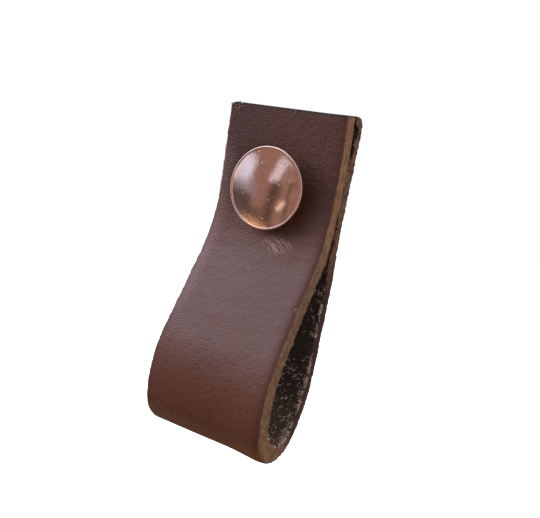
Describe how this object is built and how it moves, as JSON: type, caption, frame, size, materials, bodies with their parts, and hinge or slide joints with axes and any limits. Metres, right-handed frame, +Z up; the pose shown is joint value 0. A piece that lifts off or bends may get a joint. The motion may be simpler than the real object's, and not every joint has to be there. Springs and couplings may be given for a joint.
{
  "type": "leather strap pull",
  "caption": "Short leather strap folded into a finger loop, its cut ends held together by a round copper head that fixes it to a door or drawer front.",
  "frame": {"origin": "middle of the strap's width on its flat back face, 10 mm below the centre of the head", "axes": "+X to the right seen from the room, +Y square into the door or drawer front, +Z up"},
  "size_m": [0.0254, 0.0185, 0.0641],
  "materials": {
    "leather": "dark red-brown full grain with a soft satin sheen, tan cut edges and dark rough flesh inside the loop",
    "copper_head": "polished copper with fine dings and a bright turned rim",
    "copper_screw": "plain turned copper, slightly dull"
  },
  "bodies": {
    "root": {"strap": "leather", "head_post": "copper_head", "back_screw": "copper_screw"}
  },
  "joints": []
}
